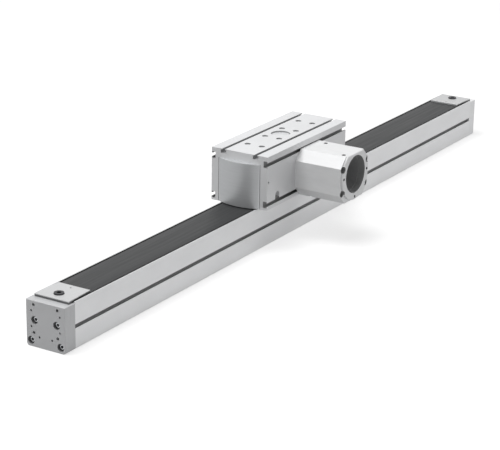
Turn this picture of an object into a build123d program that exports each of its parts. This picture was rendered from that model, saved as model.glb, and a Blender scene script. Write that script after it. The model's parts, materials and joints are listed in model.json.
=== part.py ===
from build123d import *
from math import asin, atan2, ceil, degrees, floor, hypot, pi, radians, sin, cos
import os

# Cantilever actuator: a drive head that stays put and a long beam that it pushes out.
# The frame has +X along the beam, -Y towards the coupling housing and +Z up.
# The origin is on the underside of the beam, under the middle of the drive head.
# Front is the -X end, rear the +X end. All sizes are millimetres.

# Travel and overall length
stroke = 780.0
overrun = 9.1
beam_shift = 22.7

# Drive head, an inverted U extrusion
head_length = 222.8
head_height = 78.0
head_gap = 1.1
head_wall = 12.0
head_roof = 12.9

# Beam extrusion
beam_width = 60.0
wall_height = 63.3
lip_thickness = 1.8
channel_width = 44.0
beam_corner = 4.0
beam_slot_height = 31.2
chamber_width = 26.0
chamber_bottom = 4.5
chamber_top = 30.0
chamber_corner = 2.5
side_chamber_width = 10.0
side_chamber_height = 9.0
side_chamber_y = 20.8
side_chamber_z = 19.5

# T slots, in the beam and in the head
slot_mouth = 5.2
slot_lip = 1.8
slot_depth = 6.3
slot_cavity = 9.2
slot_bevel = 0.8
roof_slot_inset = 19.5
head_slot_low = 8.1
head_slot_high = 11.1

# Toothed belt
belt_side_gap = 1.2
belt_pitch = 5.0
belt_back = 0.9
belt_web = 1.5
belt_tooth = 1.2
tooth_root = 2.7
tooth_tip = 1.8
belt_drop = 0.3
ledge_play = 0.05
mesh_clearance = 0.15
loop_margin = 6.0

# Drive pulley and shaft
pulley_teeth = 28
pulley_x = 5.5
pulley_above_roof = 27.8
flange_radius = 25.6
flange_thickness = 1.5
pulley_side_gap = 0.5
shaft_radius = 7.5
shaft_nose = 30.0
key_width = 5.0
key_height = 5.0
key_length = 40.0
key_seat = 3.0

# Rollers, two near the ends of the head and two beside the pulley
lift_roller_radius = 17.3
lift_roller_inset = 28.2
wrap_roller_radius = 9.0
wrap_roller_spread = 35.0
wrap_roller_drop = 4.7
roller_gap = 0.3
roller_axle_radius = 4.0
roller_running = 0.05
roller_shoulder = 2.6
axle_depth = 5.7
running_gap = 0.5

# Shaft bearings
bearing_radius = 16.0
bearing_width = 9.0
inner_ring_wall = 2.3
spacer_length = 5.0
seal_gap = 0.3
bearing_shoulder = 2.5

# Guide: rail in the beam, two carriages under the head
rail_width = 15.0
rail_height = 12.5
rail_waist = 12.4
rail_foot = 4.0
rail_neck = 8.5
rail_pitch = 60.0
rail_end_margin = 16.0
carriage_height = 24.0
carriage_width = 34.0
carriage_length = 40.0
carriage_seal_length = 8.0
carriage_spacing = 60.0
carriage_clear = 3.2
carriage_gap = 0.3
carriage_bolt_pitch = 26.0

# Saddle that joins the carriages to the head
saddle_gap = 0.5
saddle_end_gap = 4.9
saddle_thickness = 5.4
saddle_rib = 4.4
saddle_rib_rise = 5.5
saddle_screw_near = 20.0
saddle_screw_far = 48.0

# End covers of the head
cover_bulge = 7.5
cover_wall = 4.0
cover_plate = 3.5
cover_clearance = 0.1
cover_side_gap = 0.5
cover_flange = 10.0
cover_screw_inset = 4.1
cover_screw_height = 40.4

# Axle pockets beside the lower T slot
pocket_radius = 5.4

# Mounting face on the roof
mount_pitch_x = 47.3
mount_pitch_y = 23.6
mount_columns = 4
sleeve_radius = 4.5
sleeve_depth = 2.1
mount_thread_radius = 2.5
mount_thread_depth = 11.0
recess_radius = 14.0
recess_depth = 2.6

# Coupling housing
housing_half_width = 40.0
housing_top = 30.9
housing_bottom = 38.0
housing_bevel = 14.6
housing_length = 73.5
housing_ring = 2.5
housing_ring_radius = 38.0
housing_ring_edge = 0.8
housing_floor = 8.0
pilot_radius = 27.65
pilot_depth = 10.0
room_radius = 26.9
room_margin = 2.5
hub_room = 2.4
shaft_hole = 10.5
flange_hole_radius = 2.1
flange_hole_depth = 12.0
flange_hole_circle = 33.5
corner_screw_x = 34.3
corner_screw_z = 17.8
corner_screw_drop = 3.8
corner_pocket_radius = 4.75
corner_seat = 12.0
access_hole_radius = 3.0
access_hole_x = 18.0
access_hole_near = 16.2
access_hole_far = 66.0
foot_hole_radius = 3.0
foot_hole_x = 24.2
foot_hole_near = 18.4
foot_hole_depth = 12.0

# Coupling half on the shaft
hub_radius = 24.0
hub_length = 18.0
hub_start = 1.5
jaw_length = 10.0
jaw_inner = 9.5
jaw_outer = 22.0
jaw_angle = 42.0
jaw_count = 3
hub_slit = 1.6
clamp_screw_reach = 11.0

# Screw sizes: shank radius, head radius, head height, hexagon socket radius
m3 = {"shank": 1.5}
m4_low = {"shank": 2.0, "head": 3.5, "height": 2.8, "socket": 1.45}
m4 = {"shank": 2.0, "head": 3.5, "height": 4.0, "socket": 1.75}
m5_low = {"shank": 2.5, "head": 4.25, "height": 3.5, "socket": 1.75}
m5 = {"shank": 2.5, "head": 4.25, "height": 5.0, "socket": 2.3}
m8 = {"shank": 4.0, "head": 6.5, "height": 8.0, "socket": 3.4}
head_room = 0.35
shank_room = 0.25

# Beam ends
cap_thickness = 20.5
cap_step = 1.8
cap_edge = 0.5
cap_counterbore = 5.2
cap_screw_seat = 8.0
cap_screw_length = 26.0
cap_screws_upper = (17.0, 35.8)
cap_screws_lower = (22.8, 8.2)
tool_hole_y = 18.3
tool_hole_low = 18.9
tool_hole_high = 56.0
tool_hole_radius = 2.1
tool_hole_depth = 12.0
pin_hole_radius = 1.5
pin_hole_depth = 5.0
pin_holes_side = (22.0, 26.8)
pin_holes_side_upper = (22.0, 47.8)
pin_holes_low = (9.8, 14.4)

# Belt clamps
clamp_start = 12.6
clamp_end = 59.5
clamp_plate = 1.3
clamp_edge = 0.3
clamp_outer_half = 26.5
clamp_inner_half = 24.4
clamp_root_end = 40.0
clamp_root_height = 46.0
channel_play = 0.2
pad_rise = 1.2
pad_inset = 0.3
clamp_bolt_x = 28.0
clamp_bolt_seat = 59.3
clamp_bolt_length = 24.0
clamp_pin_x = 51.8
clamp_pin_radius = 1.25
clamp_pin_sink = 0.4
clamp_pin_depth = 6.0
anchor_end = 60.5

# Heights and places that follow from the sizes above
beam_length = stroke + 2 * overrun + 2 * clamp_end + 2 * cover_bulge + head_length
beam_front = beam_shift - beam_length / 2
beam_rear = beam_shift + beam_length / 2
head_half = head_length / 2
belt_width = beam_width - 2 * (lip_thickness + belt_side_gap)
pulley_half = belt_width / 2 + pulley_side_gap
flange_end = pulley_half + flange_thickness
cavity_side = flange_end + spacer_length
head_side = cavity_side + head_wall
roof_slot_y = head_side - roof_slot_inset
head_bottom = wall_height + head_gap
head_top = head_bottom + head_height
cavity_top = head_top - head_roof
slot_low = head_bottom + head_slot_low
slot_high = head_top - head_slot_high
cap_height = wall_height - cap_step
belt_top = wall_height - belt_drop
belt_bottom = belt_top - belt_web - belt_tooth
belt_line = belt_top - belt_back
pitch_radius = pulley_teeth * belt_pitch / (2 * pi)
pulley_z = cavity_top - pulley_above_roof
lift_roller_x = head_half - lift_roller_inset
lift_roller_z = belt_top + roller_gap + lift_roller_radius
saddle_half = lift_roller_x - lift_roller_radius - roller_gap - belt_web - belt_tooth - saddle_end_gap
wrap_roller_z = pulley_z - wrap_roller_drop
loop_reach = head_half - loop_margin
carriage_top = head_bottom + saddle_gap
channel_floor = carriage_top - carriage_height
housing_start = head_side
housing_end = head_side + housing_length
housing_face = housing_end + housing_ring
hub_plane = housing_start + housing_floor + hub_start
room_start = hub_plane + hub_length + jaw_length + room_margin
clamp_pad_top = belt_top + pad_rise
clamp_top = clamp_pad_top + clamp_plate
fine = 0.01


def rod(x, z, radius, y_low, y_high):
    """A cylinder along Y."""
    return extrude(Plane.XZ.offset(-y_high) * (Pos(x, z) * Circle(radius)), y_high - y_low)


def bar(y, z, radius, x_low, x_high):
    """A cylinder along X."""
    return extrude(Plane.YZ.offset(x_low) * (Pos(y, z) * Circle(radius)), x_high - x_low)


def post(x, y, radius, z_low, z_high):
    """A cylinder along Z."""
    return extrude(Plane.XY.offset(z_low) * (Pos(x, y) * Circle(radius)), z_high - z_low)


def along_x(section, x_low, x_high):
    """A section drawn in Y and Z, extruded along X."""
    return extrude(Plane.YZ.offset(x_low) * section, x_high - x_low)


def along_y(section, y_low, y_high):
    """A section drawn in X and Z, extruded along Y."""
    return extrude(Plane.XZ.offset(-y_high) * section, y_high - y_low)


def patch(left, right, low, high):
    """A rectangle between two pairs of limits."""
    return Pos((left + right) / 2, (low + high) / 2) * Rectangle(right - left, high - low)


def screw(size, length, socket=True):
    """A cap screw that stands on z = 0 with its head up, and its shank down."""
    body = post(0, 0, size["head"], 0, size["height"]) + post(0, 0, size["shank"], -length, 0)
    if socket:
        hexagon = Plane.XY.offset(size["height"] / 2) * RegularPolygon(size["socket"], 6)
        body = body - extrude(hexagon, size["height"])
    return body


def placed(piece, origin, direction):
    """A piece built along Z, turned so that its Z points in a direction."""
    return Plane(origin=origin, z_dir=direction) * piece


def t_slot():
    """The outline of a T slot whose mouth opens upwards at zero height."""
    mouth = slot_mouth / 2
    side = slot_cavity / 2
    above = slot_lip
    return Polygon(
        (-mouth, above),
        (-mouth, -slot_lip),
        (-side, -slot_lip),
        (-side, slot_bevel - slot_depth),
        (slot_bevel - side, -slot_depth),
        (side - slot_bevel, -slot_depth),
        (side, slot_bevel - slot_depth),
        (side, -slot_lip),
        (mouth, -slot_lip),
        (mouth, above),
        align=None,
    )


def side_slot(side, y, z):
    """A T slot that opens to +Y or -Y."""
    return Pos(side * y, z) * Rot(0, 0, -90 * side) * t_slot()


def mirrored_x(piece, x=0.0):
    """The same piece at the other end."""
    return mirror(piece, about=Plane.YZ.offset(x))


def both_ends(piece, x=0.0):
    """A piece and its mirror image."""
    return [piece, mirrored_x(piece, x)]


# Belt route
def wheels():
    """Centre, pitch radius and turn of each wheel from front to rear, left turns positive."""
    lift = lift_roller_radius + roller_gap + belt_back
    wrap = wrap_roller_radius + roller_gap + belt_back
    return [
        (-lift_roller_x, lift_roller_z, lift, 1),
        (pulley_x - wrap_roller_spread, wrap_roller_z, wrap, 1),
        (pulley_x, pulley_z, pitch_radius, -1),
        (pulley_x + wrap_roller_spread, wrap_roller_z, wrap, 1),
        (lift_roller_x, lift_roller_z, lift, 1),
    ]


def headings():
    """The belt's heading before, between and after the wheels, in radians."""
    found = [0.0]
    row = wheels()
    for a, b in zip(row, row[1:]):
        dx, dz = b[0] - a[0], b[1] - a[1]
        lean = asin((b[3] * b[2] - a[3] * a[2]) / hypot(dx, dz))
        found.append(atan2(dz, dx) - lean)
    return found + [0.0]


def touch(wheel, heading, offset):
    """The point of the belt on a wheel at a heading, at an offset from the pitch line."""
    x, z, radius, turn = wheel
    reach = turn * radius - offset
    return (x + reach * sin(heading), z - reach * cos(heading))


def belt_side(offset):
    """One long side of the belt through the head, as lines and arcs."""
    edges = []
    spot = (-loop_reach, belt_line + offset)
    turns = headings()
    for wheel, before, after in zip(wheels(), turns, turns[1:]):
        first = touch(wheel, before, offset)
        middle = touch(wheel, (before + after) / 2, offset)
        last = touch(wheel, after, offset)
        edges.append(Line(spot, first))
        edges.append(ThreePointArc(first, middle, last))
        spot = last
    edges.append(Line(spot, (loop_reach, belt_line + offset)))
    return edges


def belt_stations():
    """Place and heading of each tooth along the route, and what is left after the last."""
    found = []
    walked = belt_pitch / 2
    spot = (-loop_reach, belt_line)
    turns = headings()
    for wheel, before, after in zip(wheels(), turns, turns[1:]):
        first = touch(wheel, before, 0)
        reach = hypot(first[0] - spot[0], first[1] - spot[1])
        while walked < reach:
            share = walked / reach
            x = spot[0] + share * (first[0] - spot[0])
            z = spot[1] + share * (first[1] - spot[1])
            found.append((x, z, before))
            walked += belt_pitch
        walked -= reach
        arc = wheel[2] * abs(after - before)
        while walked < arc:
            heading = before + (after - before) * walked / arc
            found.append((*touch(wheel, heading, 0), heading))
            walked += belt_pitch
        walked -= arc
        spot = touch(wheel, after, 0)
    reach = loop_reach - spot[0]
    while walked < reach:
        found.append((spot[0] + walked, spot[1], 0.0))
        walked += belt_pitch
    return found, walked - reach


def tooth(play=0.0):
    """One belt tooth under its pitch line, or with play the groove for it."""
    high = belt_back - belt_web + 0.3
    low = belt_back - belt_web - belt_tooth - play
    root = tooth_root / 2 + play
    tip = tooth_tip / 2 + play
    return Polygon((-tip, low), (tip, low), (root, high), (-root, high), align=None)


def belt_loop():
    """The stretch of belt that the head holds, from its front end to its rear end."""
    top = belt_side(belt_back)
    bottom = belt_side(belt_back - belt_web)
    ends = [Line(top[0] @ 0, bottom[0] @ 0), Line(top[-1] @ 1, bottom[-1] @ 1)]
    band = make_face(top + bottom + ends)
    teeth = [Pos(x, z) * Rot(0, 0, degrees(h)) * tooth() for x, z, h in belt_stations()[0]]
    return along_y(band + teeth, -belt_width / 2, belt_width / 2)


def run_teeth(x_low, x_high, first, step):
    """The places of the teeth of a straight run that lie wholly between two limits."""
    places = []
    x = first
    while x_low - belt_pitch < x < x_high + belt_pitch:
        if x_low + tooth_root / 2 < x < x_high - tooth_root / 2:
            places.append(x)
        x += step
    return places


def belt_run(x_low, x_high, teeth):
    """A straight run of belt with its teeth down."""
    points = [(x_low, belt_top)]
    web = belt_top - belt_web
    points.append((x_low, web))
    for x in sorted(teeth):
        points.append((x - tooth_root / 2, web))
        points.append((x - tooth_tip / 2, belt_bottom))
        points.append((x + tooth_tip / 2, belt_bottom))
        points.append((x + tooth_root / 2, web))
    points.append((x_high, web))
    points.append((x_high, belt_top))
    return along_y(Polygon(*points, align=None), -belt_width / 2, belt_width / 2)


def drive_pulley():
    """The toothed pulley, its grooves in step with the belt's teeth, with its keyway."""
    disc = Circle(pitch_radius + belt_back - belt_web - mesh_clearance)
    x, z, radius, turn = wheels()[2]
    over = [h for a, b, h in belt_stations()[0] if abs(hypot(a - x, b - z) - radius) < fine]
    first = degrees(over[0])
    step = 360 / pulley_teeth
    groove = Pos(0, pitch_radius) * tooth(mesh_clearance)
    grooves = [Rot(0, 0, first + k * step) * groove for k in range(pulley_teeth)]
    keyway = patch(-key_width / 2, key_width / 2, 0, shaft_radius + key_height - key_seat)
    section = disc - grooves - Circle(shaft_radius) - keyway
    return along_y(Pos(pulley_x, pulley_z) * section, -pulley_half, pulley_half)


def pulley_flanges():
    """The two discs that keep the belt on the pulley."""
    ring = Pos(pulley_x, pulley_z) * (Circle(flange_radius) - Circle(shaft_radius))
    ends = [(-pulley_half - flange_thickness, -pulley_half), (pulley_half, pulley_half + flange_thickness)]
    return [along_y(ring, low, high) for low, high in ends]


# Shaft and bearings
inner_bearing = (cavity_side, cavity_side + bearing_width)
outer_bearing = (-head_side, bearing_width - head_side)


def drive_shaft():
    """The shaft with its key seat, from the far bearing to the coupling."""
    low = -hub_plane - shaft_nose
    high = inner_bearing[1]
    seat = shaft_radius - key_seat
    slot = patch(-key_width / 2, key_width / 2, seat, shaft_radius + key_seat)
    slot = along_y(Pos(pulley_x, pulley_z) * slot, -key_length / 2, key_length / 2)
    return rod(pulley_x, pulley_z, shaft_radius, low, high) - slot


def shaft_key():
    """The parallel key between shaft and pulley."""
    low = shaft_radius - key_seat
    section = patch(-key_width / 2, key_width / 2, low, low + key_height)
    return along_y(Pos(pulley_x, pulley_z) * section, -key_length / 2, key_length / 2)


def shaft_ring(outer, inner, y_low, y_high):
    """A ring on the shaft's axis."""
    return along_y(Pos(pulley_x, pulley_z) * (Circle(outer) - Circle(inner)), y_low, y_high)


def shaft_spacers():
    """The sleeves between the pulley's flanges and the bearings."""
    outer = shaft_radius + inner_ring_wall
    return [
        shaft_ring(outer, shaft_radius, outer_bearing[1], -flange_end),
        shaft_ring(outer, shaft_radius, flange_end, inner_bearing[0]),
    ]


def bearing_rings(outer, inner):
    """One ring of each of the two sealed bearings."""
    return [shaft_ring(outer, inner, *span) for span in (inner_bearing, outer_bearing)]


# Coupling
def coupling_hub():
    """The clamping hub with its three jaws, that the motor's half would mesh with."""
    start = -hub_plane
    end = start - hub_length
    hub = shaft_ring(hub_radius, shaft_radius, end, start)
    slit = patch(0, hub_radius + fine, -hub_slit / 2, hub_slit / 2)
    hub = hub - along_y(Pos(pulley_x, pulley_z) * slit, end, start)
    crown = Circle(jaw_outer) - Circle(jaw_inner)
    wedge = Polygon((0, 0), (hub_radius * 2, -clamp_width()), (hub_radius * 2, clamp_width()), align=None)
    jaws = [Rot(0, 0, 90 + k * 360 / jaw_count) * (crown & wedge) for k in range(jaw_count)]
    for jaw in jaws:
        hub = hub + along_y(Pos(pulley_x, pulley_z) * jaw, end - jaw_length, end)
    return hub - clamp_screw_hole()


def clamp_width():
    """Half the width of a jaw's wedge at twice the hub's radius."""
    return hub_radius * 2 * sin(radians(jaw_angle / 2)) / cos(radians(jaw_angle / 2))


clamp_x = pulley_x + access_hole_x
clamp_y = -housing_start - access_hole_near
clamp_seat = pulley_z + hub_slit / 2 + m4["shank"] * 2.2


def clamp_screw_hole():
    """The stepped hole of the hub's clamping screw, below the housing's access hole."""
    wide = post(clamp_x, clamp_y, m4["head"] + head_room, clamp_seat, pulley_z + hub_radius)
    narrow = post(clamp_x, clamp_y, m4["shank"], clamp_seat - clamp_screw_reach, clamp_seat)
    return wide + narrow


def clamp_screw():
    """The screw that closes the hub on the shaft."""
    return Pos(clamp_x, clamp_y, clamp_seat) * screw(m4, clamp_screw_reach)


corner_places = [
    (pulley_x + i * corner_screw_x, pulley_z - corner_screw_drop + k * corner_screw_z)
    for i in (-1, 1)
    for k in (-1, 1)
]


def coupling_housing():
    """The eight-sided housing with a turned end, its pilot bore and its screw pockets."""
    outline = patch(-housing_half_width, housing_half_width, -housing_bottom, housing_top)
    outline = chamfer(outline.vertices(), housing_bevel)
    ring = outline & Circle(housing_ring_radius)
    body = along_y(Pos(pulley_x, pulley_z) * outline, -housing_end, -housing_start)
    collar = along_y(Pos(pulley_x, pulley_z) * ring, -housing_face, -housing_end)
    body = body + chamfer(collar.faces().sort_by(Axis.Y)[0].edges(), housing_ring_edge)
    hub_bore = hub_radius + hub_room
    body = body - rod(pulley_x, pulley_z, hub_bore, -housing_face, -housing_start - housing_floor)
    body = body - rod(pulley_x, pulley_z, room_radius, -housing_face, -room_start)
    body = body - rod(pulley_x, pulley_z, pilot_radius, -housing_face, pilot_depth - housing_face)
    body = body - rod(pulley_x, pulley_z, shaft_hole, -housing_end, -housing_start)
    for angle in (0, 180, 270):
        x = pulley_x + flange_hole_circle * cos(radians(angle))
        z = pulley_z + flange_hole_circle * sin(radians(angle))
        body = body - rod(x, z, flange_hole_radius, -housing_face, flange_hole_depth - housing_face)
    for x, z in corner_places:
        seat = -housing_start - corner_seat
        body = body - rod(x, z, corner_pocket_radius, -housing_face, seat)
        body = body - rod(x, z, m5["shank"] + shank_room, seat, -housing_start)
    top = pulley_z + housing_top
    for side, depth in ((1, access_hole_near), (-1, access_hole_far)):
        x = pulley_x + side * access_hole_x
        body = body - post(x, -housing_start - depth, access_hole_radius, pulley_z, top)
    bottom = pulley_z - housing_bottom
    x = pulley_x - foot_hole_x
    foot = post(x, -housing_start - foot_hole_near, foot_hole_radius, bottom, bottom + foot_hole_depth)
    return body - foot


corner_screw_length = corner_seat + head_wall - 3


def coupling_housing_screws():
    """The four screws at the bottom of the corner pockets."""
    seat = -housing_start - corner_seat
    piece = screw(m5, corner_screw_length)
    return [placed(piece, (x, seat, z), (0, -1, 0)) for x, z in corner_places]


# Drive head
def head_section():
    """The head's inverted U with its six T slots."""
    outline = patch(-head_side, head_side, head_bottom, head_top)
    outline = outline - patch(-cavity_side, cavity_side, head_bottom, cavity_top)
    slots = [Pos(side * roof_slot_y, head_top) * t_slot() for side in (-1, 1)]
    for side in (-1, 1):
        slots += [side_slot(side, head_side, z) for z in (slot_low, slot_high)]
    return outline - slots


mount_places = [
    ((column - (mount_columns - 1) / 2) * mount_pitch_x, side * mount_pitch_y / 2)
    for column in range(mount_columns)
    for side in (-1, 1)
]
cover_screw_x = head_half - cover_screw_inset
cover_screw_z = head_bottom + cover_screw_height
slot_floor = head_side - slot_depth
saddle_screw_places = [i * x for i in (-1, 1) for x in (saddle_screw_near, saddle_screw_far)]
saddle_head_depth = m5_low["height"] + 0.2


def axle_pocket(side, x):
    """The round-topped pocket beside the lower slot, at the end of a lift roller's axle."""
    stem = patch(-pocket_radius, pocket_radius, slot_low, lift_roller_z)
    shape = Pos(x, 0) * (stem + Pos(0, lift_roller_z) * Circle(pocket_radius))
    limits = sorted((side * head_side, side * slot_floor))
    return along_y(shape, *limits)


def head_housing():
    """The extrusion with every hole that is cut in it."""
    body = along_x(head_section(), -head_half, head_half)
    cuts = []
    for x, y in mount_places:
        cuts.append(post(x, y, sleeve_radius, head_top - sleeve_depth, head_top))
        cuts.append(post(x, y, mount_thread_radius, head_top - mount_thread_depth, head_top))
    cuts.append(post(0, 0, recess_radius, head_top - recess_depth, head_top))
    for side in (-1, 1):
        inner, outer = sorted((side * cavity_side, side * head_side))
        for x in (-lift_roller_x, lift_roller_x):
            cuts.append(axle_pocket(side, x))
            cuts.append(rod(x, lift_roller_z, roller_axle_radius, inner, outer))
        for x in (pulley_x - wrap_roller_spread, pulley_x + wrap_roller_spread):
            cuts.append(rod(x, wrap_roller_z, roller_axle_radius, *axle_seat(side)))
        for x in (-cover_screw_x, cover_screw_x):
            cuts.append(rod(x, cover_screw_z, m3["shank"], inner, outer))
        for x in saddle_screw_places:
            low, high = sorted((side * (slot_floor - saddle_head_depth), side * slot_floor))
            cuts.append(rod(x, slot_low, m5_low["head"] + head_room, low, high))
            cuts.append(rod(x, slot_low, m5_low["shank"], inner, outer))
    cuts.append(rod(pulley_x, pulley_z, bearing_radius, *outer_bearing))
    cuts.append(rod(pulley_x, pulley_z, bearing_radius - bearing_shoulder, -head_side, -cavity_side))
    cuts.append(rod(pulley_x, pulley_z, bearing_radius, *inner_bearing))
    for x, z in corner_places:
        cuts.append(rod(x, z, m5["shank"], -head_side, -cavity_side))
    return body - cuts


def axle_seat(side):
    """The limits in Y of an axle's seat in one wall."""
    return sorted((side * cavity_side, side * (cavity_side + axle_depth)))


def end_cover():
    """The front cover: a face curved about a vertical axis, with two flanges inside the head."""
    half = cavity_side - cover_side_gap
    low = head_bottom + cover_clearance
    high = cavity_top - cover_clearance
    tip = -head_half - cover_bulge
    back = -head_half + cover_flange
    outer = ThreePointArc((-head_half, -half), (tip, 0), (-head_half, half))
    inside = half - cover_wall
    plate = -head_half + cover_plate
    rim = Polyline(
        (-head_half, half),
        (back, half),
        (back, inside),
        (plate, inside),
        (plate, -inside),
        (back, -inside),
        (back, -half),
        (-head_half, -half),
    )
    body = extrude(Plane.XY.offset(low) * make_face([outer, rim]), high - low)
    for side in (-1, 1):
        y_low, y_high = sorted((side * inside, side * half))
        body = body - rod(-cover_screw_x, cover_screw_z, m3["shank"], y_low, y_high)
    return body


def end_cover_screws():
    """The four set screws through the walls into the covers' flanges."""
    found = []
    for side in (-1, 1):
        y_low, y_high = sorted((side * (cavity_side - cover_wall), side * (head_side - 1)))
        found += both_ends(rod(-cover_screw_x, cover_screw_z, m3["shank"], y_low, y_high))
    return found


def roller(x, z, radius, face_half):
    """A roller with a shoulder at each end that keeps it between the head's walls."""
    shoulder = roller_axle_radius + roller_shoulder
    reach = cavity_side - running_gap
    body = rod(x, z, radius, -face_half, face_half) + rod(x, z, shoulder, -reach, reach)
    return body - rod(x, z, roller_axle_radius + roller_running, -reach, reach)


def roller_axle(x, z):
    """The fixed axle of one roller, seated in both walls."""
    reach = cavity_side + axle_depth
    return rod(x, z, roller_axle_radius, -reach, reach)


def saddle():
    """The U-shaped saddle that hangs between the walls on the two carriages."""
    top = carriage_top + saddle_thickness
    section = patch(-cavity_side, cavity_side, carriage_top, top)
    rib_top = slot_low + saddle_rib_rise
    section = section + patch(-cavity_side, saddle_rib - cavity_side, carriage_top, rib_top)
    section = section + patch(cavity_side - saddle_rib, cavity_side, carriage_top, rib_top)
    body = along_x(section, -saddle_half, saddle_half)
    for x, y in carriage_bolts():
        body = body - post(x, y, m4_low["shank"] + shank_room, carriage_top, top)
        seat = top - m4_low["height"] - 0.2
        body = body - post(x, y, m4_low["head"] + head_room, seat, top)
    for side in (-1, 1):
        low, high = sorted((side * (cavity_side - saddle_rib), side * cavity_side))
        for x in saddle_screw_places:
            body = body - rod(x, slot_low, m5_low["shank"], low, high)
    return body


def saddle_screws():
    """The screws in the lower slots that hold the saddle, heads flush with the slots' floors."""
    found = []
    length = slot_floor - saddle_head_depth - cavity_side + saddle_rib
    for side in (-1, 1):
        for x in saddle_screw_places:
            seat = (x, side * (slot_floor - saddle_head_depth), slot_low)
            found.append(placed(screw(m5_low, length), seat, (0, side, 0)))
    return found


# Guide
def rail_section(gap=0.0):
    """The rail's waisted section, standing on the channel's floor."""
    half = rail_width / 2 + gap
    waist = rail_waist / 2 + gap
    return Polygon(
        (-half, -gap),
        (half, -gap),
        (half, rail_foot),
        (waist, rail_foot + 1.5),
        (waist, rail_neck - 1.5),
        (half, rail_neck),
        (half, rail_height + gap),
        (-half, rail_height + gap),
        (-half, rail_neck),
        (-waist, rail_neck - 1.5),
        (-waist, rail_foot + 1.5),
        (-half, rail_foot),
        align=None,
    )


rail_low = beam_front + anchor_end + 1
rail_high = beam_rear - anchor_end - 1
rail_screw_count = floor((rail_high - rail_low - 2 * rail_end_margin) / rail_pitch) + 1
rail_screw_places = [
    beam_shift + (k - (rail_screw_count - 1) / 2) * rail_pitch for k in range(rail_screw_count)
]
rail_seat = channel_floor + rail_height - m4["height"] - 0.5
rail_screw_length = 12.0


def guide_rail():
    """The rail with its counterbored holes."""
    body = along_x(Pos(0, channel_floor) * rail_section(), rail_low, rail_high)
    top = channel_floor + rail_height
    for x in rail_screw_places:
        body = body - post(x, 0, m4["head"] + head_room, rail_seat, top)
        body = body - post(x, 0, m4["shank"] + shank_room, channel_floor, rail_seat)
    return body


def guide_rail_screws():
    """The screws that hold the rail on the channel's floor."""
    piece = screw(m4, rail_screw_length, socket=False)
    return [Pos(x, 0, rail_seat) * piece for x in rail_screw_places]


def carriage_bolts():
    """The places of the four bolts on top of each carriage."""
    half = carriage_bolt_pitch / 2
    middles = (-carriage_spacing / 2, carriage_spacing / 2)
    return [(m + i * half, k * half) for m in middles for i in (-1, 1) for k in (-1, 1)]


def carriage_section():
    """The carriage's section round the rail."""
    low = channel_floor + carriage_clear
    block = patch(-carriage_width / 2, carriage_width / 2, low, carriage_top)
    return block - Pos(0, channel_floor) * rail_section(carriage_gap)


def carriage(middle):
    """One recirculating carriage's steel body."""
    half = carriage_length / 2
    body = along_x(carriage_section(), middle - half, middle + half)
    for x, y in carriage_bolts():
        if abs(x - middle) < half:
            depth = 5.0
            body = body - post(x, y, m4_low["shank"], carriage_top - depth, carriage_top)
    return body


def carriage_seals():
    """The plastic ends of both carriages, a little smaller than the steel bodies."""
    low = channel_floor + carriage_clear + 0.5
    half = carriage_width / 2 - 0.5
    block = patch(-half, half, low, carriage_top - 0.5)
    section = block - Pos(0, channel_floor) * rail_section(carriage_gap)
    found = []
    for middle in (-carriage_spacing / 2, carriage_spacing / 2):
        for side in (-1, 1):
            inner = middle + side * carriage_length / 2
            outer = inner + side * carriage_seal_length
            found.append(along_x(section, min(inner, outer), max(inner, outer)))
    return found


def carriage_screws():
    """The low-head screws that hold the saddle on the carriages."""
    seat = carriage_top + saddle_thickness - m4_low["height"] - 0.2
    length = seat - carriage_top + 4.5
    return [Pos(x, y, seat) * screw(m4_low, length) for x, y in carriage_bolts()]


# Beam
def beam_outline(height):
    """The beam's outer outline, round at its two lower corners."""
    outline = patch(-beam_width / 2, beam_width / 2, 0, height)
    corners = outline.vertices().sort_by(Axis.Y)[:2]
    return fillet(corners, beam_corner)


def beam_profile():
    """The beam's extrusion: belt seat, open channel, hollow chambers and two side slots."""
    seat_half = beam_width / 2 - lip_thickness
    section = beam_outline(wall_height)
    ledge = belt_bottom - ledge_play
    section = section - patch(-seat_half, seat_half, ledge, wall_height)
    section = section - patch(-channel_width / 2, channel_width / 2, channel_floor, ledge)
    for side in (-1, 1):
        section = section - side_slot(side, beam_width / 2, beam_slot_height)
    chamber = patch(-chamber_width / 2, chamber_width / 2, chamber_bottom, chamber_top)
    section = section - fillet(chamber.vertices(), chamber_corner)
    for side in (-1, 1):
        pocket = Rectangle(side_chamber_width, side_chamber_height)
        pocket = fillet(pocket.vertices(), chamber_corner / 2)
        section = section - Pos(side * side_chamber_y, side_chamber_z) * pocket
    low = beam_front + cap_thickness
    high = beam_rear - cap_thickness
    body = along_x(section, low, high)
    depth = cap_screw_length - cap_thickness + cap_screw_seat + 2
    cuts = []
    for y, z in cap_screw_places():
        cuts.append(bar(y, z, m5["shank"], low, low + depth))
        cuts.append(bar(y, z, m5["shank"], high - depth, high))
    for x in rail_screw_places:
        cuts.append(post(x, 0, m4["shank"], rail_seat - rail_screw_length, channel_floor))
    for x in clamp_bolt_places():
        cuts.append(post(x, 0, m8["shank"], clamp_bolt_seat - clamp_bolt_length, channel_floor))
    return body - cuts


def cap_screw_places():
    """The places of the four screws of one end cap."""
    return [(side * y, z) for side in (-1, 1) for y, z in (cap_screws_upper, cap_screws_lower)]


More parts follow.
